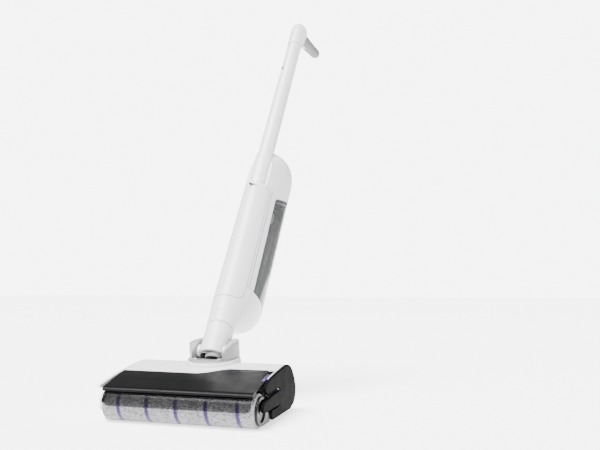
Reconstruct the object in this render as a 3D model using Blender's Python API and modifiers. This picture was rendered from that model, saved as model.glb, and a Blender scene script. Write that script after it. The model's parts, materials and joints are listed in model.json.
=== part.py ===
"""A cordless wet dry floor scrubber, leaning back in use, built as separate pieces in one frame.

X runs to the right, Y to the back and Z up. The origin is on the floor, under the middle of the rear
squeegee strip. The numbers below are in millimetres and become metres as each piece is made.
"""
import math

import bmesh
import bpy
from mathutils import Matrix, Vector

MM = 0.001
GAP = 0.3            # air kept between neighbouring pieces
LEAN = 34.4          # how far the upright leans back from vertical, degrees
PIVOT = Vector((0, 92, 103))
SWIVEL_TILT = 8      # the steering axis leans forward by this, degrees

PLATE_IN = 138.3     # the side plates lie outside this half width
PLATE_OUT = 144
ROLLER_Y = -40
ROLLER_R = 27.5
CLOTH_LEFT = -129.5
CLOTH_RIGHT = 137
CORE_R = 22
WHEEL_Y = 84
WHEEL_R = 14
WHEEL_X = 108
WALL = 2.5           # plastic shells

# the upright's section is an ellipse: half width, front edge and back edge
HALF_WIDE = 43
FRONT_K = -21.5
BACK_K = 134
NECK_R = 26.4
NECK_K = 3
NECK_TOP = 49      # where the seam crosses the neck's middle; it drops to the back
SEAM = -0.2
POCKET = 28.6        # half width of the yoke's pocket
TANK_BOTTOM = 148
TANK_FRONT = 25
TANK_TOP = 392       # at the tank's front edge; the lid rises from there to the back
TANK_SLOPE = 0.70
SHELL_K = 3          # seam between the front shell and the rear housing
DOME_S = 478
DOME_H = 73
DOME_SLOPE = 0.36
TUBE_R = 17.5
TUBE_K = -1.5
TUBE_TOP = 925
GRIP_TILT = 34.4     # the grip lies level while the upright leans

for old in list(bpy.data.objects):
    bpy.data.objects.remove(old, do_unlink=True)

scrubber = bpy.data.collections.new("floor_scrubber")
cutters = bpy.data.collections.new("cutters")
bpy.context.scene.collection.children.link(scrubber)
bpy.context.scene.collection.children.link(cutters)


def axis(name, place):
    """An empty that stands on a joint's axis."""
    empty = bpy.data.objects.new(name, None)
    scrubber.objects.link(empty)
    empty.matrix_world = place
    return empty


def at(point, turn=Matrix.Identity(4)):
    """A place and a turn there."""
    return Matrix.Translation(Vector(point) * MM) @ turn


leaning = at(PIVOT, Matrix.Rotation(math.radians(-LEAN), 4, "X"))
upright = axis("upright_axis", leaning)
steer = axis("steer_axis", at(PIVOT, Matrix.Rotation(math.radians(SWIVEL_TILT), 4, "X")))


def finish(name, bm, colour=None, frame=None, rough=0.4):
    """A mesh becomes a named piece, or a cutter when it has no colour."""
    bmesh.ops.recalc_face_normals(bm, faces=bm.faces)
    mesh = bpy.data.meshes.new(name)
    bm.to_mesh(mesh)
    bm.free()
    piece = bpy.data.objects.new(name, mesh)
    if colour is None:
        cutters.objects.link(piece)
        piece.hide_render = True
        piece.display_type = "WIRE"
    else:
        scrubber.objects.link(piece)
        paint = bpy.data.materials.new(name)
        paint.use_nodes = True
        shader = paint.node_tree.nodes["Principled BSDF"]
        shader.inputs["Base Color"].default_value = (*colour, 1)
        shader.inputs["Roughness"].default_value = rough
        mesh.materials.append(paint)
    if frame:
        piece.parent = frame
    return piece


def solid(name, points, colour=None, frame=None, **more):
    """The convex solid around a cloud of points."""
    bm = bmesh.new()
    for point in points:
        bm.verts.new(Vector(point) * MM)
    bmesh.ops.convex_hull(bm, input=bm.verts, use_existing_faces=False)
    loose = [v for v in bm.verts if not v.link_faces]
    bmesh.ops.delete(bm, geom=loose, context="VERTS")
    bmesh.ops.dissolve_limit(bm, angle_limit=0.001, verts=bm.verts, edges=bm.edges)
    return finish(name, bm, colour, frame, **more)


def box(name, low, high, colour=None, frame=None, **more):
    """A block between two corners."""
    bm = bmesh.new()
    low, high = Vector(low) * MM, Vector(high) * MM
    bmesh.ops.create_cube(bm, size=1)
    bmesh.ops.scale(bm, vec=high - low, verts=bm.verts)
    bmesh.ops.translate(bm, vec=(high + low) / 2, verts=bm.verts)
    return finish(name, bm, colour, frame, **more)


def loft(name, rings, colour=None, frame=None, **more):
    """A skin through rings that have the same number of points, closed at both ends."""
    bm = bmesh.new()
    rows = [[bm.verts.new(Vector(point) * MM) for point in ring] for ring in rings]
    sides = len(rows[0])
    for lower, upper in zip(rows, rows[1:]):
        for n in range(sides):
            m = (n + 1) % sides
            bm.faces.new((lower[n], lower[m], upper[m], upper[n]))
    bmesh.ops.triangulate(bm, faces=bm.faces)
    bm.faces.new(rows[0][::-1])
    bm.faces.new(rows[-1])
    bmesh.ops.dissolve_limit(bm, angle_limit=0.001, verts=bm.verts, edges=bm.edges)
    return finish(name, bm, colour, frame, **more)


def turned(name, along, centre, spans, colour=None, frame=None, sides=48, **more):
    """Round solid about an axis: spans lists (place, radius) along it. A bore is cut separately."""
    turn = {"X": Matrix.Rotation(math.pi / 2, 4, "Y"), "Y": Matrix.Rotation(-math.pi / 2, 4, "X"),
            "Z": Matrix.Identity(4)}[along]
    angles = [2 * math.pi * n / sides for n in range(sides)]
    rings = [[Vector(centre) + turn @ Vector((radius * math.cos(t), radius * math.sin(t), place)) for t in angles]
             for place, radius in spans]
    return loft(name, rings, colour, frame, **more)


def prism(name, outline, low, high, along="X", colour=None, frame=None, **more):
    """An outline pushed straight along an axis. Outlines are (y, z) for X, (x, z) for Y, (x, y) for Z."""
    put = {"X": lambda a, b, c: (c, a, b), "Y": lambda a, b, c: (a, c, b), "Z": lambda a, b, c: (a, b, c)}[along]
    bm = bmesh.new()
    face = bm.faces.new([bm.verts.new(Vector(put(a, b, low)) * MM) for a, b in outline])
    grown = bmesh.ops.extrude_face_region(bm, geom=[face])
    verts = [v for v in grown["geom"] if isinstance(v, bmesh.types.BMVert)]
    bmesh.ops.translate(bm, vec=(Vector(put(0, 0, high)) - Vector(put(0, 0, low))) * MM, verts=verts)
    return finish(name, bm, colour, frame, **more)


def cut(piece, *tools, join=False):
    """Takes the tools away from a piece, or adds them to it."""
    for tool in tools:
        step = piece.modifiers.new(tool.name, "BOOLEAN")
        step.operation = "UNION" if join else "DIFFERENCE"
        step.solver = "EXACT"
        step.object = tool
    return piece


def meet(piece, tool):
    """Keeps what lies inside the tool."""
    step = piece.modifiers.new(tool.name, "BOOLEAN")
    step.operation = "INTERSECT"
    step.solver = "EXACT"
    step.object = tool
    return piece


def soften(piece, width, segments=2, angle=40):
    """Rounds the sharp edges."""
    step = piece.modifiers.new("rounding", "BEVEL")
    step.width = width * MM
    step.segments = segments
    step.limit_method = "ANGLE"
    step.angle_limit = math.radians(angle)
    step.use_clamp_overlap = True
    return piece


def arc(centre, radius, start, end, count):
    """Points on an arc, in degrees from the first axis."""
    steps = (math.radians(start + (end - start) * n / (count - 1)) for n in range(count))
    return [(centre[0] + radius * math.cos(t), centre[1] + radius * math.sin(t)) for t in steps]


def rounded(before, corner, after):
    """A corner eased from one point to another."""
    ends = Vector(before), Vector(corner), Vector(after)
    steps = (n / 6 for n in range(7))
    return [tuple(ends[0] * (1 - t) ** 2 + ends[1] * 2 * t * (1 - t) + ends[2] * t * t) for t in steps]


def ribbon(path, thick):
    """A closed outline of a strip that follows a path, with its thickness to the path's right."""
    path = [Vector(p) for p in path]
    inner = []
    for n, here in enumerate(path):
        before = path[max(n - 1, 0)]
        after = path[min(n + 1, len(path) - 1)]
        first = (here - before).normalized() if n else (after - here).normalized()
        second = (after - here).normalized() if n < len(path) - 1 else first
        way = (first + second).normalized()
        side = Vector((way.y, -way.x))
        inner.append(here + side * thick / max(way.dot(first), 0.5))
    return [tuple(p) for p in path] + [tuple(p) for p in reversed(inner)]


def smooth(points, count):
    """A smooth curve through a few points."""
    found = []
    pts = [Vector(p) for p in points]
    pts = [2 * pts[0] - pts[1]] + pts + [2 * pts[-1] - pts[-2]]
    for a, b, c, d in zip(pts, pts[1:], pts[2:], pts[3:]):
        for n in range(count):
            t = n / count
            found.append(0.5 * (2 * b + (c - a) * t + (2 * a - 5 * b + 4 * c - d) * t * t
                                + (3 * b - a - 3 * c + d) * t ** 3))
    return [tuple(p) for p in found] + [tuple(pts[-2])]


WHITE = (0.86, 0.86, 0.86)
PALE = (0.68, 0.68, 0.69)
GREY = (0.42, 0.42, 0.43)
DARK = (0.045, 0.045, 0.05)
BLACK = (0.015, 0.015, 0.017)
PURPLE = (0.08, 0.03, 0.22)
SMOKE = (0.2, 0.2, 0.21)
METAL = (0.6, 0.6, 0.6)

# ---- floor head: the outer skin in side view, from the roller cover's lip to the back of the floor plate
LIP = [(-67.5, 52), (-68.5, 55), (-66, 58), (-60, 59.5)]
SLOPE = [(-40, 64), (-19, 69), (1, 73), (27, 77.5), (60, 82.3), (82, 84.8)]
REAR = [(94, 85.2), (106, 81.5), (117, 73.5), (127, 62.5), (134, 51), (137.6, 41), (137.6, 32),
        (133.5, 21.5), (124, 12.5), (110, 8)]
ROLLER_AT = (ROLLER_Y, ROLLER_R)
SPLIT = [(-145, 15.5), (4, 13.5), (20, 20), (38, 36), (52, 45), (130, 45.5), (135.5, 41), (135.5, 2), (145, 2)]

skin = smooth(SLOPE + REAR, 3)
seam_front = [(x, y) for x, y in SPLIT] + [(145, -90), (-145, -90)]
seam_back = [(x, y - 0.6) for x, y in SPLIT[:6]] + [(145, 45), (145, 150), (-145, 150)]

top_cover = prism("head_top_cover", ribbon([p for p in skin if p[0] > -5 or p[1] < 60], WALL),
                  -PLATE_IN + GAP, PLATE_IN - GAP, colour=WHITE)
collar = turned("collar", "Z", (0, 0, 0), [(-34, 50), (-17, 50), (-11, 47.5), (-9.5, 46)], frame=steer, sides=56)
collar_bore = turned("collar_bore", "Z", (0, 0, 0), [(-60, 44.6), (10, 44.6)], frame=steer, sides=56)
under_skin = prism("under_skin", [(p[0], p[1] - 1.2) for p in skin] + [(100, -40), (-60, -40)],
                   -PLATE_IN - 9, PLATE_IN + 9)
cut(collar, under_skin)
cut(top_cover, prism("cover_side", seam_front, 20, 120, along="Z"))
cut(top_cover, collar, join=True)
cut(top_cover, collar_bore)

roller_cover = prism("roller_cover", ribbon(LIP + smooth(SLOPE[:5], 2), WALL), -PLATE_IN + 1, PLATE_IN - 1,
                     colour=BLACK, rough=0.25)
cut(roller_cover, prism("white_side", seam_back, 20, 120, along="Z"))
cut(roller_cover, prism("left_slant", [(-150, -80), (-129, -80), (-129, -67), (-137, 16), (-150, 16)], 20, 120, along="Z"))
cut(roller_cover, prism("right_slant", [(150, -80), (136.5, -80), (136.5, -13), (127, -9), (127, 29), (127, 36), (122, 45.8),
                                        (122, 50), (150, 50)], 20, 120, along="Z"))
cut(roller_cover, prism("latch_groove", [(27, 76.6), (28.8, 76.8), (28.8, 90), (27, 90)], 54, 124))

tab_top = [(-8.4, 70.4), (1, 72.4), (13, 74.6), (26, 76.6)]
release_tab = prism("cover_release_tab", ribbon(tab_top, 3), 127.4, 135.2, colour=PURPLE)
soften(release_tab, 0.8)

visor_arc = arc(ROLLER_AT, 31.5, 180 - 2, 180 - 41, 13)
splash_visor = prism("splash_visor", ribbon(visor_arc, 1.6), -124.2, 133, colour=SMOKE, rough=0.1)
corner = [(-126, 20), (-126, 35), (-123.2, 32.6), (-120.7, 30.3), (-117, 29.1), (-117, 20)]
cut(splash_visor, prism("visor_corner_left", corner, -90, -60, along="Y"))
cut(splash_visor, prism("visor_corner_right", [(8.8 - x, z) for x, z in corner], -90, -60, along="Y"))

visor_frame = prism("visor_frame", ribbon(arc(ROLLER_AT, 31.9, 180 - 41.8, 180 - 62, 6) + [(-57.4, 55.4)], 2), -127.9, 134,
                    colour=BLACK, rough=0.3)
cut(visor_frame, prism("frame_end", ribbon(arc(ROLLER_AT, 32.2, 180 - 12, 180 - 50, 10), 3), -127.9, -124.5), join=True)

# ---- side plates, cut from the same skin; the right one opens towards the roller for the pull arm
plate_back = [(p[0], p[1]) for p in skin if p[0] > -20]
low_front = [(107, 6.2), (8, 5), (3.5, 9), (3.5, 21)]
recess = [(41, 22.6), (48, 27), (52, 35), (51, 44), (44, 51.5), (33, 54), (-8, 50.4)]
nose = [(-16, 50), (-27, 55.5), (-29.5, 60), (-27, 64.5)]
side_right = prism("side_plate_right", plate_back + low_front + recess + nose, PLATE_IN, PLATE_OUT, colour=DARK)
soften(side_right, 1.4)
side_left = prism("side_plate_left", plate_back + [low_front[0]] + [(-10, 5), (-36, 8), (-52, 20), (-52, 36), (-36, 50)]
                  + [(-44, 53), (-58, 55), (-57, 59.6)] + [(p[0], p[1] - 0.4) for p in skin if p[0] < -20],
                  -PLATE_OUT, -PLATE_IN, colour=WHITE)
soften(side_left, 1.4)
recess_trim = prism("arm_recess_trim", [(50.2, 43.7), (51.2, 35.2), (47.4, 27.6), (40.8, 23.4), (39.9, 25),
                                        (45.6, 28.9), (48.9, 35.6), (48, 42.6), (42.9, 49.4), (33, 51.6), (33.2, 53.2),
                                        (43.6, 50.9)], PLATE_IN + 0.2, PLATE_OUT - 1.6, colour=PURPLE)

# ---- floor plate with the roller's chamber wall, squeegee, scraper and wheels
chamber = arc(ROLLER_AT, 31, -38, 62, 14)
base_path = [(106, 6.4), (2.2, 6.4), (2.2, 4), (-9, 4)] + chamber
head_base = prism("head_base", ribbon(base_path, 3), -135.5, 136, colour=BLACK, rough=0.6)
for side in (-1, 1):
    tag = "left" if side < 0 else "right"
    mid = side * WHEEL_X
    well = box("well_" + tag, (mid - 12, WHEEL_Y - 18, -5), (mid + 12, WHEEL_Y + 18, 20))
    fork = box("fork_" + tag, (mid - 15, WHEEL_Y - 7, 5), (mid + 15, WHEEL_Y + 7, 21))
    gap = box("fork_gap_" + tag, (mid - 8.3, WHEEL_Y - 20, -5), (mid + 8.3, WHEEL_Y + 20, 25))
    bore = turned("fork_bore_" + tag, "X", (0, WHEEL_Y, WHEEL_R), [(mid - 30, 2.5), (mid + 30, 2.5)], sides=20)
    cut(head_base, well)
    cut(head_base, fork, join=True)
    cut(head_base, gap, bore)
    wheel = turned("rear_wheel_" + tag, "X", (0, WHEEL_Y, WHEEL_R),
                   [(mid - 8, WHEEL_R - 1.2), (mid - 6.5, WHEEL_R), (mid + 6.5, WHEEL_R), (mid + 8, WHEEL_R - 1.2)],
                   colour=DARK, sides=40)
    cut(wheel, turned("wheel_bore_" + tag, "X", (0, WHEEL_Y, WHEEL_R), [(mid - 20, 2.5), (mid + 20, 2.5)], sides=20))
    turned("wheel_axle_" + tag, "X", (0, WHEEL_Y, WHEEL_R), [(mid - 14, 2.2), (mid + 14, 2.2)], colour=METAL, sides=20)

cut(head_base, box("duct_mouth", (-31, -16, 14.8), (31, 0, 27.2)))
squeegee = prism("squeegee_strip", [(-2, 0), (2, 0), (2, 3.6), (-2, 3.6)], -128, 130, colour=DARK, rough=0.8)
scraper = prism("roller_scraper", [(-10, 48), (-8.8, 49.2), (-6, 46.5), (-7.2, 45.3)], -128, 130, colour=GREY)

# ---- roller cartridge: core, cloth, black end plate and the pull arm that lies in the side plate
def at_roller(name, spans, **more):
    return turned(name, "X", (0, ROLLER_Y, ROLLER_R), spans, **more)


core = at_roller("roller_core", [(CLOTH_LEFT + 1, CORE_R), (CLOTH_RIGHT - 1, CORE_R)], colour=GREY)
cut(core, at_roller("core_bore", [(CLOTH_LEFT - 5, 18.5), (100, 18.5), (100.5, 6), (CLOTH_RIGHT + 5, 6)]))
cloth = at_roller("roller_cloth", [(CLOTH_LEFT, ROLLER_R - 1.5), (CLOTH_LEFT + 1.5, ROLLER_R),
                                   (CLOTH_RIGHT - 1.5, ROLLER_R), (CLOTH_RIGHT, ROLLER_R - 1.5)],
                  colour=(0.6, 0.6, 0.6), rough=0.95, sides=72)
cut(cloth, at_roller("cloth_bore", [(CLOTH_LEFT - 5, CORE_R + GAP), (CLOTH_RIGHT + 5, CORE_R + GAP)], sides=72))

end_block = prism("end_block", [(-34, 3), (2, 4), (0, 14), (-12, 24), (-34, 20)], CLOTH_RIGHT + 0.6, 140.5)
end_plate = at_roller("roller_end_plate", [(CLOTH_RIGHT + 0.6, 23.5), (140.5, 23.5), (141.5, 22.5)], colour=BLACK)
cut(end_plate, end_block, join=True)
cut(end_plate, at_roller("end_dish", [(139, 17.5), (150, 17.5)]))
cut(end_plate, at_roller("stub", [(118, 5.4), (139.5, 5.4)], sides=24), join=True)
arm_shape = arc((-40, 33), 8.6, 95, 265, 9) + [(-10, 25.6), (28, 25.8)] + arc((36.5, 38.2), 11.4, -70, 85, 9) + [(6, 47.6)]
pull_arm = prism("roller_pull_arm", arm_shape, 141.9, 147.5, colour=DARK, rough=0.5)
soften(pull_arm, 1.2)

brush_motor = at_roller("brush_motor", [(-137.8, 15), (-133, 15), (-132.9, 16), (20, 16), (20.5, 14), (24, 14)], colour=METAL)
cut(brush_motor, at_roller("motor_socket", [(20, 3.4), (30, 3.4)], sides=20))
drive_hub = at_roller("drive_hub", [(21, 3), (26, 3), (26.1, 17.8), (38, 17.8), (40, 15)], colour=DARK)

# ---- suction duct from the roller chamber to the neck
duct = box("suction_duct", (-34, -5.6, 12), (34, 112, 30), colour=GREY)
soften(duct, 3)
cut(duct, box("duct_inside", (-31.5, -10, 14.5), (31.5, 109.5, 27.5)))
cut(duct, turned("duct_ring", "Z", (0, 92, 0), [(26, 24), (54, 24)]), join=True)
cut(duct, turned("duct_hole", "Z", (0, 92, 0), [(20, 21.5), (60, 21.5)]))
swivel_ring = turned("swivel_ring", "Z", (0, 0, 0), [(-21.5, 44), (-16, 44)], colour=GREY, frame=steer, sides=56)
cut(swivel_ring, turned("ring_bore", "Z", (0, 0, 0), [(-30, 37.5), (-10, 37.5)], frame=steer, sides=56))

# ---- yoke that steers, with the cheeks that carry the neck
yoke = turned("swivel_yoke", "Z", (0, 0, 0), [(-15.6, 43.4), (-8.7, 43.4)], colour=PALE, frame=steer, sides=64)
cheek = [(5, 19.4), (-6, 16), (-17.6, 10.8), (-23.4, 3), (-29.3, -4.8), (-33, -9.1)]
cheek_back = [(29, 19.4), (35, 16.5), (40, 8), (44, -9.1)]
for side in (-1, 1):
    tag = "left" if side < 0 else "right"
    points = [(side * POCKET, y, z) for y, z in cheek + cheek_back]
    points += [(side * 50, y - 20, z) for y, z in cheek] + [(side * 50, y, z) for y, z in cheek_back]
    points += [(side * 18, -34, -9.1), (side * 25.5, -32, -7.6)]
    arm = solid("cheek_" + tag, points, frame=steer)
    meet(arm, turned("cup_" + tag, "Z", (0, 6, 0), [(-9.2, 46), (17.6, 45.4), (19.4, 43.8)], frame=steer, sides=64))
    cut(yoke, arm, join=True)
cut(yoke, prism("yoke_gap", [(60, 40), (-60, 40), (-60, -4.4), (-26.3, -4.4)] + arc((0, 0), 26.7, 190, 268, 14)
                + arc((0, 0), 34, 272, 345, 14) + [(60, -8.6)], -POCKET, POCKET, frame=steer))
cut(yoke, turned("pin_bore", "X", (0, 0, 0), [(-40.6, 6.3), (40.6, 6.3)], frame=steer, sides=28))

# ---- upright: neck
def across(name, outline, half=90, **more):
    """A prism across the whole upright; the outline is (k, s)."""
    return prism(name, outline, -half, half, frame=upright, **more)


neck = turned("neck", "Z", (0, NECK_K, 0), [(-8, NECK_R - 0.8), (-7, NECK_R), (70, NECK_R)],
              colour=WHITE, frame=upright, sides=56)
cut(neck, turned("neck_bosses", "X", (0, 0, 0), [(-POCKET + GAP, 13), (POCKET - GAP, 13)], frame=upright, sides=40), join=True)
cut(neck, across("neck_foot", [(2, -20), (16, -11), (22, 2), (23.3, 12), (23.3, 32), (40, 56), (60, 56), (60, -20)]))
cut(neck, turned("neck_bore", "Z", (0, NECK_K, 0), [(-20, 23.2), (80, 23.2)], frame=upright, sides=56))
seam_line = [(k, NECK_TOP + SEAM * (k - NECK_K) - 0.4) for k in (-40, 50)]
cut(neck, across("above_seam", seam_line + [(50, 90), (-40, 90)]))
cut(neck, turned("neck_pin_bore", "X", (0, 0, 0), [(-60, 6.3), (60, 6.3)], frame=upright, sides=28))
for side in (-1, 1):
    tag = "left" if side < 0 else "right"
    turned("pivot_pin_" + tag, "X", (0, 0, 0), [(min(side * 24.5, side * 40), 6), (max(side * 24.5, side * 40), 6)],
           colour=METAL, frame=upright, sides=28)
neck_duct = turned("neck_duct", "Z", (4, 0, 0), [(-15, 15), (-13, 16.5), (NECK_TOP + 30, 16.5)], colour=GREY,
                   frame=upright, sides=40)
cut(neck_duct, turned("neck_duct_bore", "Z", (4, 0, 0), [(-30, 14), (NECK_TOP + 50, 14)], frame=upright, sides=40))
turned("water_line", "Z", (-17, -3, 0), [(-12, 3.5), (NECK_TOP + 30, 3.5)], colour=BLACK, frame=upright, sides=16)


# ---- upright: one outer form, cut into shells
def ellipse(s, wide, front, back, slope=0.0, sides=64):
    middle, deep = (front + back) / 2, (back - front) / 2
    ring = []
    for n in range(sides):
        t = 2 * math.pi * n / sides
        k = middle + deep * math.cos(t)
        ring.append((wide * math.sin(t), k, s + slope * (k - middle)))
    return ring


def form(inset):
    """Rings up the upright's outer form, moved in by inset."""
    rise = inset * 1.2
    rings = [ellipse(NECK_TOP + rise, NECK_R - inset, NECK_K - NECK_R + inset, NECK_K + NECK_R - inset, SEAM)]
    for s, wide, back in ((59, 27.9, 34), (67, 30.2, 47), (75, 32.4, 64), (84, 35, 80), (94, 37.5, 95), (108, 40, 111),
                          (126, 42, 125)):
        rings.append(ellipse(s + rise, wide - inset, FRONT_K - 0.5 + inset, back - inset))
    rings.append(ellipse(TANK_BOTTOM + inset * 0.5, HALF_WIDE - inset, FRONT_K + inset, BACK_K - inset))
    for n in range(8):
        t = n / 8
        shrink = (1 - t ** 2.2) ** (1 / 2.2)
        middle, deep = FRONT_K + 81, (81 - inset) * shrink
        wide = (HALF_WIDE - inset) * shrink
        rings.append(ellipse(DOME_S + (DOME_H - inset) * t, wide, middle - deep, middle + deep, DOME_SLOPE))
    return rings


def whole_form(name, inset, **more):
    return loft(name, form(inset), frame=upright, **more)


# front shell: ends in a sleeve round the tube, and its lower corners are rounded
shell_edge = [(-60, 111.7)] + [(SHELL_K - 14, 111.7), (SHELL_K - 6, 116), (SHELL_K - 1.5, 126), (SHELL_K, 146)]
front_region = across("front_region", shell_edge + [(SHELL_K, 390), (-10, 406), (-60, 406)])
front_shell = whole_form("front_shell", 0, colour=WHITE)
sleeve = turned("sleeve", "Z", (0, TUBE_K, 0), [(380, 20.4), (497, 20.4)], frame=upright, sides=56)
sleeve_front = box("sleeve_front", (-40, -40, 395), (40, -7, 520), frame=upright)
meet(sleeve, sleeve_front)
meet(front_shell, front_region)
cut(front_shell, sleeve, join=True)
cut(front_shell, meet(whole_form("shell_inside", WALL), box("shell_room", (-80, -60, 90), (80, 60, 402), frame=upright)))
cut(front_shell, turned("sleeve_bore", "Z", (0, TUBE_K, 0), [(380, TUBE_R + GAP), (520, TUBE_R + GAP)],
                        frame=upright, sides=56))

# lower cap: from the neck to the tank's floor, open to the neck and to the front shell
def tank_tail(up):
    """The tank's floor is level at the front and drops to a tail at the back."""
    return [(77, TANK_BOTTOM + up), (150, TANK_BOTTOM - 62 + up)]


lower_cap = whole_form("lower_cap", 0, colour=WHITE)
cut(lower_cap, across("above_cap", [(-60, 111.4), (SHELL_K - 14, 111.4), (SHELL_K - 5.7, 115.8), (SHELL_K - 1.2, 125.9),
                                    (SHELL_K + GAP, 146), (SHELL_K + GAP, TANK_BOTTOM - GAP)]
                     + tank_tail(-GAP) + [(200, 700), (-60, 700)]))
cap_room = meet(whole_form("cap_room", WALL),
                across("cap_room_side", [(-60, 20), (150, 20)] + tank_tail(-3.2)[::-1]
                       + [(SHELL_K - 2, TANK_BOTTOM - 3.2), (SHELL_K - 2, 400), (-60, 400)]))
cut(lower_cap, cap_room)
cut(lower_cap, turned("cap_mouth", "Z", (0, NECK_K, 0), [(25, 22.5), (78, 22.5)], frame=upright, sides=56))


# rear housing: side walls beside the tank and the motor housing above it
def lid_line(k, down=0.0):
    """Height of the slanted line over the tank."""
    return TANK_TOP + TANK_SLOPE * (k - TANK_FRONT) - down


def lid_corner(shift, down):
    """The eased corner where the slanted line turns down at the tank's front."""
    front = TANK_FRONT + shift
    return rounded((front + 8, lid_line(front + 8, down)), (front, lid_line(front, down)),
                   (front, lid_line(front, down) - 8))


rear_housing = whole_form("rear_housing", 0, colour=WHITE)
meet(rear_housing, across("rear_region", [(SHELL_K + GAP, TANK_BOTTOM), (SHELL_K + GAP, 390.2), (-9.8, 406.3),
                                          (-60, 406.3), (-60, 640), (210, 640), (210, lid_line(210))]
                            + lid_corner(0, 0) + [(TANK_FRONT, TANK_BOTTOM)]))
housing_room = meet(whole_form("housing_room", WALL),
                    across("room_side", [(-60, TANK_BOTTOM + WALL), (TANK_FRONT - WALL, TANK_BOTTOM + WALL),
                                         (TANK_FRONT - WALL, lid_line(TANK_FRONT, -3)), (210, lid_line(210, -3)),
                                         (210, 640), (-4.2, 640), (-4.2, 403.8), (-60, 403.8)]))
cut(housing_room, turned("tunnel", "Z", (0, TUBE_K, 0), [(404, 21.9), (660, 21.9)], frame=upright, sides=56))
cut(rear_housing, housing_room)
cut(rear_housing, turned("tube_way", "Z", (0, TUBE_K, 0), [(400, TUBE_R + GAP), (660, TUBE_R + GAP)],
                         frame=upright, sides=56))
sleeve_way = turned("sleeve_way", "Z", (0, TUBE_K, 0), [(395, 20.7), (497.4, 20.7)], frame=upright, sides=56)
meet(sleeve_way, box("sleeve_way_front", (-40, -60, 390), (40, -6.7, 520), frame=upright))
cut(rear_housing, sleeve_way)
cut(rear_housing, across("column_face", [(-60, 395), (-6.7, 395), (-6.7, 640), (-60, 640)]))
side_line = across("side_line", [(9, 150), (9.8, 150), (9.8, 402), (9, 402)])
cut(side_line, whole_form("line_core", 0.8))
cut(rear_housing, side_line)

# dirty water tank with its lid, latch, standpipe and float
LID = 11
tank = whole_form("dirty_water_tank", 0.2, colour=SMOKE, rough=0.15)
tank_outline = [(TANK_FRONT + GAP, TANK_BOTTOM + 0.1)] + tank_tail(0.1) + [(210, lid_line(210, LID)),
                (TANK_FRONT + GAP, lid_line(TANK_FRONT, LID))]
meet(tank, across("tank_region", tank_outline))
tank_room = meet(whole_form("tank_room", 2.4),
                 across("tank_room_side", [(TANK_FRONT + 2.5, TANK_BOTTOM + 2.5)] + tank_tail(2.5)
                        + [(210, 640), (TANK_FRONT + 2.5, 640)]))
cut(tank, tank_room)
lid = whole_form("tank_lid", 0.2, colour=DARK)
meet(lid, across("lid_region", [(TANK_FRONT + GAP, lid_line(TANK_FRONT, LID - GAP)), (210, lid_line(210, LID - GAP)),
                                (210, lid_line(210, 0.4))] + lid_corner(GAP, 0.4)))
cut(lid, across("latch_notch", [(121, lid_line(121, 10.2)), (150, lid_line(150, 10.2)), (150, lid_line(150, -20)),
                                (121, lid_line(121, -20))], half=8.4))
latch = across("tank_latch", [(125, lid_line(125, 9.8)), (143, lid_line(143, 9.8)), (143, lid_line(143, 5)),
                              (125, lid_line(125, 3.2))], half=8, colour=DARK)
soften(latch, 0.8)
standpipe = turned("tank_standpipe", "Z", (0, 60, 0), [(TANK_BOTTOM + 2.8, 11), (385, 11)], colour=GREY, frame=upright,
                   sides=32)
cut(standpipe, turned("standpipe_bore", "Z", (0, 60, 0), [(TANK_BOTTOM - 10, 9), (400, 9)], frame=upright, sides=32))
cut(tank, turned("tank_inlet", "Z", (0, 60, 0), [(TANK_BOTTOM - 10, 8.8), (TANK_BOTTOM + 10, 8.8)], frame=upright,
                 sides=32))
turned("tank_float", "Z", (0, 98, 0), [(390, 10), (391.5, 12), (408, 12), (409.5, 10)], colour=WHITE, frame=upright,
       sides=32)

# inside the upright
battery = box("battery_pack", (-19, -8, 165), (19, 20, 300), colour=DARK, frame=upright)
soften(battery, 3)
box("control_board", (-18, 10, 312), (18, 11.6, 384), colour=(0.03, 0.12, 0.06), frame=upright)
clean_tank = box("clean_water_tank", (-20, 30, 108), (20, 76, 143), colour=(0.6, 0.65, 0.7), frame=upright)
cut(clean_tank, box("clean_room", (-18, 32, 110), (18, 74, 141), frame=upright))
cut(clean_tank, turned("clean_filler", "Y", (0, 0, 126), [(70, 7), (85, 7)], frame=upright, sides=24))
turned("water_pump", "Z", (0, 14, 0), [(84, 11), (108, 11)], colour=METAL, frame=upright, sides=32)
turned("suction_motor", "Z", (0, 74, 0), [(462, 28), (466, 30), (508, 30), (514, 20)], colour=METAL, frame=upright,
       sides=40)
turned("motor_filter", "Z", (0, 74, 0), [(517, 24), (526, 24)], colour=PURPLE, frame=upright, sides=40)

# wand tube with its small lock button
wand = turned("wand_tube", "Z", (0, TUBE_K, 0), [(406, TUBE_R), (TUBE_TOP, TUBE_R)], colour=WHITE, frame=upright,
              sides=56)
cut(wand, turned("wand_bore", "Z", (0, TUBE_K, 0), [(390, TUBE_R - 2), (TUBE_TOP + 20, TUBE_R - 2)], frame=upright,
                 sides=56))
lock_turn = Vector((-0.57, -0.82, 0)).to_track_quat("Z", "X").to_matrix().to_4x4()
lock_frame = axis("lock_axis", leaning @ at((0, TUBE_K, 799), lock_turn))
cut(wand, turned("lock_hole", "Z", (0, 0, 0), [(8, 4.6), (25, 4.6)], frame=lock_frame, sides=24))
turned("wand_lock_button", "Z", (0, 0, 0), [(13, 4.2), (18, 4.2), (18.8, 3.4)], colour=DARK, frame=lock_frame, sides=24)


# handle head and grip
def handle_form(grow):
    """Points on the handle head, which widens to the back where the grip leaves it."""
    found = []
    for s, wide, front, back in ((902 - grow, 18.6, -20.1, 17.1), (935, 19.6, -20.8, 22), (966, 21, -20.6, 31),
                                 (980, 20.4, -19, 31.5), (988, 17, -15, 28), (991.5 + grow, 12, -9, 22)):
        found += ellipse(s, wide + grow, front - grow, back + grow, sides=48)
    return found


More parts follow.
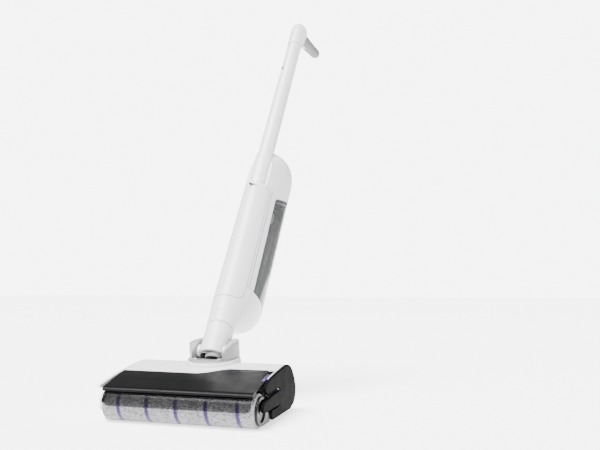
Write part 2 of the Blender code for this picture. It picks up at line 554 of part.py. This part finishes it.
GRIP_TURN = Matrix.Rotation(math.radians(GRIP_TILT + 3 - 90), 4, "X")
grip_frame = axis("grip_axis", leaning @ at((0, 10, 963), GRIP_TURN))
handle = solid("handle_head", handle_form(0), colour=WHITE, frame=upright)
cut(handle, turned("grip_core", "Z", (0, 0, 0), [(5, 10.5), (168, 10.5), (169, 9.5)], frame=grip_frame, sides=40),
    join=True)
cut(handle, turned("tube_socket", "Z", (0, TUBE_K, 0), [(880, TUBE_R + GAP), (TUBE_TOP + GAP, TUBE_R + GAP)],
                   frame=upright, sides=56))
grip = turned("grip_sleeve", "Z", (0, 0, 0), [(8, 17.4), (40, 16.6), (90, 14.8), (140, 13.8), (164, 13.6), (172, 12),
                                              (176, 7.6)], colour=GREY, frame=grip_frame, sides=48, rough=0.8)
cut(grip, solid("head_clear", handle_form(0.4), frame=upright))
cut(grip, turned("grip_bore", "Z", (0, 0, 0), [(0, 10.8), (169.4, 10.8)], frame=grip_frame, sides=40))

# controls on the grip: a trigger under it, two round buttons on top
cut(grip, box("trigger_slot", (-5.4, 10, 31.6), (5.4, 30, 50.4), frame=grip_frame))
trigger = prism("grip_trigger", [(14.2, 32), (19.4, 32), (20.9, 36), (19.8, 44), (18, 50), (14.2, 50)], -5, 5,
                colour=PALE, frame=grip_frame)
soften(trigger, 0.8)
for tag, place, radius in (("power_button", 44, 5.5), ("mode_button", 61, 4.5)):
    stem = axis(tag + "_axis", leaning @ at((0, 10, 963), GRIP_TURN)
                @ at((0, 0, place), Matrix.Rotation(math.radians(90), 4, "X")))
    cut(grip, turned(tag + "_hole", "Z", (0, 0, 0), [(10, radius + 0.4), (30, radius + 0.4)], frame=stem, sides=28))
    turned(tag, "Z", (0, 0, 0), [(12.6, radius), (17.1, radius), (17.7, radius - 0.6)], colour=PALE, frame=stem,
           sides=28)
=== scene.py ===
import json
import math

import bmesh
import bpy
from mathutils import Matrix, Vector, noise


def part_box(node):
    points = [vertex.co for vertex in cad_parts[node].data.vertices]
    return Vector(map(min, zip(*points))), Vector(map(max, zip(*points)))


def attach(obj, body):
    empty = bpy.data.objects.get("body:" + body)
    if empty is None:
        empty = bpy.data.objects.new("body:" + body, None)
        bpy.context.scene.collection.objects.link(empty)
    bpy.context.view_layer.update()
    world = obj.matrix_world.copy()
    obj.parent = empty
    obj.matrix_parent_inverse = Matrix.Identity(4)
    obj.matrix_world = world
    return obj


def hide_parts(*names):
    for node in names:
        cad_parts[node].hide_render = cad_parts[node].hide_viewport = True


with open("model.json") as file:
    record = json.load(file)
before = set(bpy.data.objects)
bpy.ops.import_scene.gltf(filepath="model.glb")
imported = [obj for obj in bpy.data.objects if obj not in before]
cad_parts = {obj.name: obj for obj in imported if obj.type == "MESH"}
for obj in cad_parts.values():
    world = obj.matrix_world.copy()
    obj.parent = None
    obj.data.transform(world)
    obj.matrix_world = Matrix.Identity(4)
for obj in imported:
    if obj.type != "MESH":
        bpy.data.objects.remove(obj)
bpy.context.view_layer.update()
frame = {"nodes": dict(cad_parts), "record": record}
nodes = frame["nodes"]
bodyOf = {node: body for body, members in frame["record"]["behaviour"]["bodies"].items() for node in members}
print("frame loaded:", len(nodes), "nodes")

pivot = Vector((0, 0.092, 0.103))      # where the upright hinges in the yoke
lean = math.radians(34.4)              # the upright leans back by this


class Wire:      # a socket that can be used in sums
    def __init__(self, finish, socket):
        self.finish = finish
        self.socket = socket

    def calc(self, operation, other=0.0, flip=False):      # flip puts the other value first
        first, second = (other, self) if flip else (self, other)
        return self.finish.add("ShaderNodeMath", {"operation": operation}, {0: first, 1: second})[0]

    def __add__(self, other):
        return self.calc("ADD", other)

    def __sub__(self, other):
        return self.calc("SUBTRACT", other)

    def __rsub__(self, other):
        return self.calc("SUBTRACT", other, flip=True)

    def __mul__(self, other):
        return self.calc("MULTIPLY", other)

    def __truediv__(self, other):
        return self.calc("DIVIDE", other)

    def abs(self):
        return self.calc("ABSOLUTE")

    def clip(self):
        return self.calc("MAXIMUM", 0.0).calc("MINIMUM", 1.0)

    def ramp(self, low, high):      # 0 at low, 1 at high
        return ((self - low) / (high - low)).clip()

    __radd__ = __add__
    __rmul__ = __mul__


class Finish:      # one material and its nodes
    def __init__(self, name, **fixed):
        self.material = bpy.data.materials.new(name)
        self.material.use_nodes = True
        self.tree = self.material.node_tree
        self.shader = self.tree.nodes["Principled BSDF"]
        for socket, value in fixed.items():
            self.shader.inputs[socket.replace("_", " ")].default_value = value
        self.place = self.add("ShaderNodeTexCoord", {}, {})["Object"]
        split = self.add("ShaderNodeSeparateXYZ", {}, {0: self.place})
        self.x, self.y, self.z = split["X"], split["Y"], split["Z"]

    def add(self, kind, settings, sockets):
        node = self.tree.nodes.new(kind)
        for name, value in settings.items():
            setattr(node, name, value)
        for key, value in sockets.items():
            if isinstance(value, Wire):
                self.tree.links.new(value.socket, node.inputs[key])
            else:
                node.inputs[key].default_value = value
        return {**{n: Wire(self, out) for n, out in enumerate(node.outputs)},
                **{out.name: Wire(self, out) for out in node.outputs if out.enabled}}

    def stretched(self, x, y, z, turn=0.0):
        return self.add("ShaderNodeMapping", {}, {"Vector": self.place, "Scale": (x, y, z),
                                                  "Rotation": (turn, 0, 0)})[0]

    def grain(self, scale, detail=2.0, rough=0.5, where=None):
        return self.add("ShaderNodeTexNoise", {}, {"Vector": where or self.place, "Scale": scale,
                                                   "Detail": detail, "Roughness": rough})[0]

    def cells(self, scale):
        return self.add("ShaderNodeTexVoronoi", {}, {"Vector": self.place, "Scale": scale})[0]

    def mix(self, factor, first, second):
        return self.add("ShaderNodeMix", {"data_type": "RGBA"}, {0: factor, 6: first, 7: second})[2]

    def bump(self, height, depth, strength=1.0):
        made = self.add("ShaderNodeBump", {}, {"Height": height, "Distance": depth, "Strength": strength})
        self.feed("Normal", made[0])

    def feed(self, socket, wire):
        self.tree.links.new(wire.socket, self.shader.inputs[socket])

    def up(self):      # height along the leaning upright, metres from the pivot
        return (self.y - pivot.y) * math.sin(lean) + (self.z - pivot.z) * math.cos(lean)

    def back(self):      # distance behind the upright's hinge, square to it
        return (self.y - pivot.y) * math.cos(lean) - (self.z - pivot.z) * math.sin(lean)


dustColour = (0.33, 0.31, 0.29, 1)


def shade(colour, by):
    return (colour[0] * by, colour[1] * by, colour[2] * by, 1)


def plastic(name, colour, rough, grain=0.00002, scale=1500, coat=0.0, mottle=0.02, dust=0.0, scuff=0.05,
            shine=0.5, paintedEdgeLight=0.45):      # the last argument is how bright the eased edges are painted: below 1 a painted shade, above 1 a painted highlight
    made = Finish(name, Coat_Weight=coat, Coat_Roughness=0.08, IOR=1.5, Specular_IOR_Level=shine)
    broad = made.grain(11, 2)
    smudge = made.grain(42, 4, 0.6)
    scratch = made.grain(60, 3, 0.6, made.stretched(30, 1.2, 1.2, 0.6)).ramp(0.62, 0.72)
    low = (1 - made.z.ramp(0.0, 0.045)) * made.grain(130, 4, 0.65).ramp(0.42, 0.7) * dust
    base = made.mix(broad.ramp(0.3, 0.7), shade(colour, 1 - mottle), shade(colour, 1 + mottle))
    # painted shade on the eased edges of pale parts, painted highlight on those of dark parts
    paintedEdgeMask = made.add("ShaderNodeAttribute", {"attribute_name": "paintedEdgeLight"}, {})["Fac"]
    base = made.mix(paintedEdgeMask * made.grain(90, 2).ramp(0.1, 0.4), base, shade(colour, paintedEdgeLight))
    made.feed("Base Color", made.mix(low, base, dustColour))
    worn = smudge.ramp(0.35, 0.7) * 0.09 + scratch * scuff + low * 0.4 + (rough - 0.05)
    made.feed("Roughness", worn.clip())
    made.bump(made.grain(scale, 3, 0.6) + made.grain(210, 2) * 0.6, grain)
    return made.material


def smokedPlastic(name, colour, alpha, level=None, shine=0.5, rough=0.06):
    made = Finish(name, IOR=1.5, Specular_IOR_Level=shine)
    streak = made.grain(26, 2, 0.5, made.stretched(3.2, 0.35, 0.35))
    tint = made.mix(streak.ramp(0.35, 0.65), shade(colour, 0.8), shade(colour, 1.2))
    see = streak.ramp(0.3, 0.7) * 0.05 + alpha
    if level:      # stale water film below the line; a painted shade band at the back stands in for the dark grazing edge of the clear wall
        film = 1 - made.up().ramp(level, level + 0.0012)
        paintedRimShade = made.back().ramp(0.116, 0.131)
        see = (see + film * 0.07 + paintedRimShade * 0.4).clip()
        tint = made.mix(paintedRimShade, tint, shade(colour, 0.25))
    made.feed("Base Color", tint)
    made.feed("Alpha", see)
    made.feed("Roughness", made.grain(70, 4).ramp(0.4, 0.7) * 0.08 + rough)
    made.bump(made.grain(35, 2), 0.0002, 0.3)
    return made.material


def rubber(name, colour):
    made = Finish(name, IOR=1.45)
    wear = made.grain(90, 4, 0.6)
    made.feed("Base Color", made.mix(wear.ramp(0.4, 0.75), shade(colour, 0.8), shade(colour, 1.9)))
    made.feed("Roughness", wear * 0.25 + 0.62)
    made.bump(made.grain(900, 3, 0.7), 0.00008)
    return made.material


def brushedMetal(name, colour, rough, across=(2, 60, 60)):
    made = Finish(name, Metallic=1.0)
    lines = made.grain(45, 3, 0.7, made.stretched(*across))
    made.feed("Base Color", made.mix(lines.ramp(0.3, 0.7), shade(colour, 0.8), shade(colour, 1.05)))
    made.feed("Roughness", lines * 0.2 + rough)
    made.bump(lines, 0.00002)
    return made.material


def pileCloth(name, look):
    made = Finish(name, Sheen_Weight=0.35, Sheen_Roughness=0.5, IOR=1.35)
    tufts = made.cells(620)
    specks = made.grain(430, 3, 0.75)
    wisps = made.grain(150, 4, 0.7, made.stretched(1, 2.2, 2.2))
    tone = (specks.ramp(0.38, 0.62) * 0.5 + wisps.ramp(0.36, 0.64) * 0.5).clip()
    grey = made.mix(tone, look["dark"], look["light"])
    ring = None
    for middle in look["rings"]:
        slanted = made.x + (made.z - look["axisHeight"]) * look["ringTilt"]
        off = (slanted - middle).abs() + made.grain(400, 2) * look["ringFray"]
        one = 1 - off.ramp(look["ringHalf"], look["ringHalf"] + look["ringSoft"])
        ring = one if ring is None else ring + one
    purple = made.mix(tone, look["ringDark"], look["ringLight"])
    made.feed("Base Color", made.mix(ring.clip(), grey, purple))
    made.feed("Roughness", specks * 0.1 + 0.86)
    made.bump(1 - tufts + specks * 0.7, 0.0009, 0.8)
    return made.material


def openFoam(name, colour):
    made = Finish(name, IOR=1.4)
    pores = made.cells(520)
    made.feed("Base Color", made.mix(pores.ramp(0.1, 0.6), shade(colour, 0.4), shade(colour, 1.3)))
    made.feed("Roughness", pores * 0.1 + 0.85)
    made.bump(pores, 0.0008)
    return made.material


def circuitBoard(name):
    made = Finish(name, Coat_Weight=0.3)
    tracks = made.grain(160, 0, 0.5, made.stretched(1, 3, 1)).ramp(0.5, 0.53)
    made.feed("Base Color", made.mix(tracks, (0.012, 0.06, 0.03, 1), (0.03, 0.13, 0.06, 1)))
    made.feed("Roughness", tracks * 0.15 + 0.35)
    made.bump(tracks, 0.00004)
    return made.material


whiteLook = {"colour": (0.62, 0.622, 0.627), "rough": 0.36, "grain": 0.000012, "mottle": 0.008}
clothLook = {"dark": (0.022, 0.022, 0.024, 1), "light": (0.35, 0.35, 0.362, 1),
             "rings": (-0.099, -0.048, 0.004, 0.0565, 0.110), "ringHalf": 0.0029, "ringTilt": 0.1,
             "ringFray": 0.0016, "ringSoft": 0.0024, "axisHeight": 0.0275,
             "ringDark": (0.012, 0.005, 0.04, 1), "ringLight": (0.045, 0.02, 0.12, 1)}

shellWhite = plastic("shellWhite", **whiteLook)
headWhite = plastic("headWhite", dust=0.25, **whiteLook)
wandWhite = plastic("wandWhite", coat=0.15, **whiteLook)
yokeGrey = plastic("yokeGrey", (0.26, 0.26, 0.263), 0.42, 0.00003, dust=0.2, paintedEdgeLight=0.85)
gripGrey = plastic("gripGrey", (0.095, 0.095, 0.097), 0.62, 0.00009, 1100, mottle=0.04)
buttonGrey = plastic("buttonGrey", (0.62, 0.62, 0.625), 0.4)
innerGrey = plastic("innerGrey", (0.3, 0.3, 0.31), 0.5, 0.00004)
tankLidDark = plastic("tankLidDark", (0.03, 0.03, 0.032), 0.28, coat=0.3, paintedEdgeLight=1.4)
sidePlateDark = plastic("sidePlateDark", (0.003, 0.003, 0.0032), 0.5, 0.00005, 1300, dust=0.03, mottle=0.06,
                        shine=0.006, paintedEdgeLight=1.6)
coverBlack = plastic("coverBlack", (0.0016, 0.0016, 0.0018), 0.34, 0.000004, mottle=0.04, scuff=0.0,
                     shine=0.06, paintedEdgeLight=1.5)
frameBlack = plastic("frameBlack", (0.003, 0.003, 0.0035), 0.3, 0.000004, scuff=0.0, shine=0.15, paintedEdgeLight=1.5)
baseBlack = plastic("baseBlack", (0.006, 0.006, 0.0065), 0.6, 0.00006, dust=0.15, mottle=0.1, shine=0.2,
                    paintedEdgeLight=1.5)
tabPurple = plastic("tabPurple", (0.022, 0.006, 0.07), 0.3, coat=0.2, mottle=0.08, shine=0.3, paintedEdgeLight=1.3)
tankSmoke = smokedPlastic("tankSmoke", (0.06, 0.063, 0.066), 0.42, level=0.208)
visorSmoke = smokedPlastic("visorSmoke", (0.004, 0.004, 0.0044), 0.42, shine=0.1, rough=0.16)
stripRubber = rubber("stripRubber", (0.022, 0.022, 0.023))
pinSteel = brushedMetal("pinSteel", (0.6, 0.6, 0.61), 0.24)
motorMetal = brushedMetal("motorMetal", (0.55, 0.55, 0.56), 0.34)
rollerPile = pileCloth("rollerPile", clothLook)
filterFoam = openFoam("filterFoam", (0.1, 0.04, 0.22))
boardGreen = circuitBoard("boardGreen")
waterClear = smokedPlastic("waterClear", (0.5, 0.55, 0.6), 0.3)
print("finishes made")


def deselect():
    if bpy.context.object and bpy.context.object.mode != "OBJECT":
        bpy.ops.object.mode_set(mode="OBJECT")
    bpy.ops.object.select_all(action="DESELECT")


def pick(piece):
    deselect()
    piece.select_set(True)
    bpy.context.view_layer.objects.active = piece


def editAll(piece):
    pick(piece)
    bpy.ops.object.mode_set(mode="EDIT")
    bpy.ops.mesh.select_all(action="SELECT")


def applyModifier(piece, kind, **settings):
    pick(piece)
    step = piece.modifiers.new(kind.lower(), kind)
    for name, value in settings.items():
        setattr(step, name, value)
    bpy.ops.object.modifier_apply(modifier=step.name)


def smoothBy(piece, degrees):
    pick(piece)
    bpy.ops.object.shade_smooth_by_angle(angle=math.radians(degrees))


def hand(piece, node, finish, *more):      # the piece stands for the node and moves as it does
    piece.data.materials.clear()
    piece.data.materials.append(finish)
    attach(piece, bodyOf[node])
    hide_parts(node, *more)
    return piece


easing = {"weld": 0.00002, "flat": 0.4, "segments": 2, "sharp": 38, "smooth": 34, "weight": 60}


def refined(node, name, finish, edge):      # a cleaned copy with eased edges
    source = nodes[node]
    piece = source.copy()
    piece.data = source.data.copy()
    piece.name = name
    piece.data.name = name
    piece.parent = None
    for key in list(piece.keys()):
        del piece[key]
    bpy.context.scene.collection.objects.link(piece)
    editAll(piece)
    bpy.ops.mesh.remove_doubles(threshold=easing["weld"])
    bpy.ops.mesh.dissolve_limited(angle_limit=math.radians(easing["flat"]))
    deselect()
    piece.data.materials.clear()
    piece.data.materials.append(None)
    piece.data.materials.append(None)
    applyModifier(piece, "BEVEL", width=edge, segments=easing["segments"], limit_method="ANGLE",
                  angle_limit=math.radians(easing["sharp"]), use_clamp_overlap=False,
                  miter_outer="MITER_ARC", material=1)
    paintedEdgeLight = piece.data.attributes.new("paintedEdgeLight", "FLOAT", "CORNER")      # 1 on the eased edges, which plastic() paints darker on pale parts as painted shade and lighter on dark parts as a painted highlight
    for face in piece.data.polygons:
        for corner in face.loop_indices:
            paintedEdgeLight.data[corner].value = face.material_index
        face.material_index = 0
    low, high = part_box(node)
    for vert in piece.data.vertices:      # an eased edge never stands out past the part
        vert.co = [min(max(value, low[axis]), high[axis]) for axis, value in enumerate(vert.co)]
    smoothBy(piece, easing["smooth"])
    applyModifier(piece, "WEIGHTED_NORMAL", keep_sharp=True, weight=easing["weight"])
    return hand(piece, node, finish)


shells = {
    "front_shell": ("frontShellSkin", shellWhite, 0.0007),
    "rear_housing": ("rearHousingSkin", shellWhite, 0.0007),
    "lower_cap": ("lowerCapSkin", shellWhite, 0.0006),
    "neck": ("neckSkin", shellWhite, 0.0008),
    "wand_tube": ("wandTubeSkin", wandWhite, 0.0005),
    "handle_head": ("handleHeadSkin", shellWhite, 0.001),
    "head_top_cover": ("headTopSkin", headWhite, 0.0005),
    "side_plate_left": ("leftPlateSkin", headWhite, 0.0004),
    "side_plate_right": ("rightPlateSkin", sidePlateDark, 0.0004),
    "swivel_yoke": ("yokeSkin", yokeGrey, 0.0016),
    "roller_cover": ("rollerCoverSkin", coverBlack, 0.0005),
    "visor_frame": ("visorFrameSkin", frameBlack, 0.0004),
    "splash_visor": ("visorSkin", visorSmoke, 0.0004),
    "head_base": ("floorPlateSkin", baseBlack, 0.0003),
    "roller_end_plate": ("endPlateSkin", frameBlack, 0.0006),
    "roller_pull_arm": ("pullArmSkin", sidePlateDark, 0.0004),
    "cover_release_tab": ("releaseTabSkin", tabPurple, 0.0003),
    "arm_recess_trim": ("recessTrimSkin", tabPurple, 0.0003),
    "grip_sleeve": ("gripSkin", gripGrey, 0.0006),
    "grip_trigger": ("triggerSkin", buttonGrey, 0.0003),
    "power_button": ("powerButtonSkin", buttonGrey, 0.0004),
    "mode_button": ("modeButtonSkin", buttonGrey, 0.0004),
    "wand_lock_button": ("lockButtonSkin", tankLidDark, 0.0004),
    "dirty_water_tank": ("tankSkin", tankSmoke, 0.0008),
    "tank_lid": ("tankLidSkin", tankLidDark, 0.0009),
    "tank_latch": ("tankLatchSkin", tankLidDark, 0.0004),
    "squeegee_strip": ("squeegeeSkin", stripRubber, 0.0003),
    "rear_wheel_left": ("leftWheelSkin", stripRubber, 0.0005),
    "rear_wheel_right": ("rightWheelSkin", stripRubber, 0.0005),
}
for node, (name, finish, edge) in shells.items():
    refined(node, name, finish, edge)
print("shells refined:", len(shells))

inside = {
    "neck_duct": innerGrey,
    "suction_duct": innerGrey,
    "swivel_ring": innerGrey,
    "tank_standpipe": innerGrey,
    "roller_scraper": innerGrey,
    "roller_core": innerGrey,
    "clean_water_tank": waterClear,
    "drive_hub": sidePlateDark,
    "battery_pack": sidePlateDark,
    "water_line": stripRubber,
    "tank_float": shellWhite,
    "motor_filter": filterFoam,
    "control_board": boardGreen,
    "pivot_pin_left": pinSteel,
    "pivot_pin_right": pinSteel,
    "wheel_axle_left": pinSteel,
    "wheel_axle_right": pinSteel,
    "brush_motor": motorMetal,
    "suction_motor": motorMetal,
    "water_pump": motorMetal,
}
for node, finish in inside.items():
    nodes[node].data.materials.clear()
    nodes[node].data.materials.append(finish)
print("inner nodes finished:", len(inside))


pile = {"rings": 300, "around": 150, "depth": 0.00075, "ringDrop": 0.0004, "ringReach": 0.003, "end": 0.0018,
        "endDrop": 0.0013, "rim": 0.0016, "face": 0.0035}


def makeCloth():
    low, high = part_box("roller_cloth")
    radius = (high.z - low.z) / 2
    middle = (low + high) / 2
    deselect()
    bpy.ops.mesh.primitive_cylinder_add(vertices=pile["around"], radius=radius, depth=high.x - low.x,
                                        location=middle, rotation=(0, math.pi / 2, 0), end_fill_type="NGON")
    cloth = bpy.context.object
    cloth.name = "rollerClothPile"
    bpy.ops.object.transform_apply(location=True, rotation=True, scale=True)
    editAll(cloth)
    bpy.ops.mesh.select_all(action="DESELECT")
    mesh = bmesh.from_edit_mesh(cloth.data)
    for edge in mesh.edges:
        edge.select = abs(edge.verts[0].co.x - edge.verts[1].co.x) > 0.1
    bmesh.update_edit_mesh(cloth.data)
    bpy.ops.mesh.subdivide_edgering(number_cuts=pile["rings"], interpolation="LINEAR")
    mesh = bmesh.from_edit_mesh(cloth.data)
    for face in mesh.faces:
        face.select = len(face.verts) > 4
    bmesh.update_edit_mesh(cloth.data)
    bpy.ops.mesh.inset(thickness=pile["rim"])
    bpy.ops.mesh.inset(thickness=pile["face"])
    deselect()
    for vert in cloth.data.vertices:
        out = Vector((0, vert.co.y - middle.y, vert.co.z - middle.z))
        reach = out.length
        if reach < radius * 0.9:
            continue
        tuft = noise.noise(vert.co * 900) * 0.5 + noise.noise(vert.co * 260) * 0.5
        drop = pile["depth"] * (0.5 - 0.5 * tuft)
        for ring in clothLook["rings"]:
            slanted = vert.co.x + out.z * clothLook["ringTilt"]
            drop += pile["ringDrop"] * max(0, 1 - abs(slanted - ring) / pile["ringReach"])
        near = min(vert.co.x - low.x, high.x - vert.co.x)
        if near < pile["end"]:
            drop += pile["endDrop"] * (1 - near / pile["end"]) ** 2
        wanted = max(reach - drop, 0.001) if reach > radius - 0.0001 else reach
        vert.co.y = middle.y + out.y / reach * wanted
        vert.co.z = middle.z + out.z / reach * wanted
    smoothBy(cloth, 60)
    return hand(cloth, "roller_cloth", rollerPile)


makeCloth()
print("roller cloth made")


stageLook = {"floor": (0.9, 0.9, 0.9, 1), "floorDark": (0.88, 0.88, 0.88, 1), "floorSize": 14,
             "floorGlow": 1.6, "world": 0.45, "backdrop": 8.5, "sun": 16.0, "sunWidth": 42,
             "sunHeading": (0.6, 0.95, -2.6), "fill": 18, "back": 20}
viewLook = {"lens": 40.61, "film": 36, "place": (0.5057, -1.0671, 0.2316), "pitch": 94.78, "turn": 16.37}


def makeStage():
    deselect()
    bpy.ops.mesh.primitive_plane_add(size=stageLook["floorSize"], location=(0, 2, 0))
    floor = bpy.context.object
    floor.name = "studioFloor"
    made = Finish("studioPaper", Roughness=0.9)
    made.feed("Base Color", made.mix(made.grain(3, 2), stageLook["floorDark"], stageLook["floor"]))
    made.shader.inputs["Emission Color"].default_value = (1, 1, 1, 1)
    made.shader.inputs["Emission Strength"].default_value = stageLook["floorGlow"]
    floor.data.materials.append(made.material)
    world = bpy.data.worlds.new("studio")
    bpy.context.scene.world = world
    world.use_nodes = True
    tree = world.node_tree
    light = tree.nodes["Background"]
    light.inputs[0].default_value = (1, 1, 1, 1)
    light.inputs[1].default_value = stageLook["world"]
    seen = tree.nodes.new("ShaderNodeBackground")      # the backdrop shows lighter than it lights
    seen.inputs[1].default_value = stageLook["backdrop"]
    either = tree.nodes.new("ShaderNodeMixShader")
    tree.links.new(tree.nodes.new("ShaderNodeLightPath").outputs["Is Camera Ray"], either.inputs[0])
    tree.links.new(light.outputs[0], either.inputs[1])
    tree.links.new(seen.outputs[0], either.inputs[2])
    tree.links.new(either.outputs[0], tree.nodes["World Output"].inputs[0])


def softLight(name, place, aim, size, power):
    lamp = bpy.data.lights.new(name, "AREA")
    lamp.shape = "RECTANGLE"
    lamp.size, lamp.size_y = size
    lamp.energy = power
    made = bpy.data.objects.new(name, lamp)
    bpy.context.scene.collection.objects.link(made)
    made.location = place
    made.rotation_euler = (Vector(aim) - Vector(place)).to_track_quat("-Z", "Y").to_euler()


makeStage()
key = bpy.data.lights.new("keyLight", "SUN")      # broad and far, so the floor is lit evenly
key.energy = stageLook["sun"]
key.angle = math.radians(stageLook["sunWidth"])
keyObject = bpy.data.objects.new("keyLight", key)
bpy.context.scene.collection.objects.link(keyObject)
keyObject.rotation_euler = Vector(stageLook["sunHeading"]).to_track_quat("-Z", "Y").to_euler()
softLight("fillSoftbox", (1.9, -0.6, 1.1), (0, 0.3, 0.3), (1.4, 1.4), stageLook["fill"])
softLight("backSoftbox", (0.3, 2.4, 2.0), (0, 0.3, 0.4), (1.8, 1.2), stageLook["back"])
eye = bpy.data.cameras.new("viewpoint")
eye.lens = viewLook["lens"]
eye.sensor_width = viewLook["film"]
viewpoint = bpy.data.objects.new("viewpoint", eye)
bpy.context.scene.collection.objects.link(viewpoint)
viewpoint.location = viewLook["place"]
viewpoint.rotation_euler = (math.radians(viewLook["pitch"]), 0, math.radians(viewLook["turn"]))
bpy.context.scene.camera = viewpoint
print("stage set")
